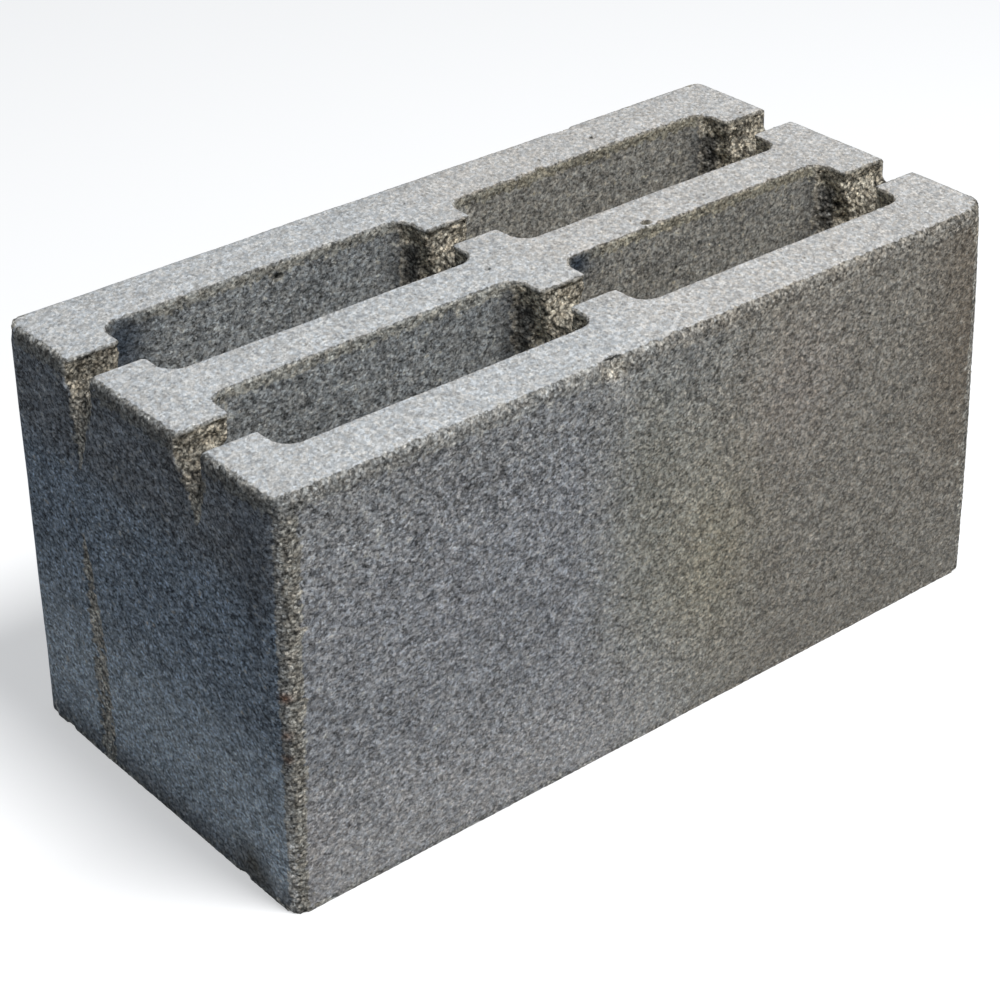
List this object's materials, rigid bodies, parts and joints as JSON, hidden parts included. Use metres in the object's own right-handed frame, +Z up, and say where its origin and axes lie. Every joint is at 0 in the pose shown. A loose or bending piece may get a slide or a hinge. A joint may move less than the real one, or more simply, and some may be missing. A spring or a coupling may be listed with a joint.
{
  "type": "hollow concrete block",
  "caption": "Hollow concrete building block with through cells in two rows and core-bar grooves across its webs.",
  "frame": {"origin": "middle of the lower bed face", "axes": "+X along the length, +Y towards the back face, +Z up towards the pressed face with the grooves"},
  "size_m": [0.39, 0.19, 0.19],
  "materials": {
    "concrete": "rough, open sandy grain, no coating"
  },
  "bodies": {
    "root": {"hollow_block": "concrete"}
  },
  "joints": []
}
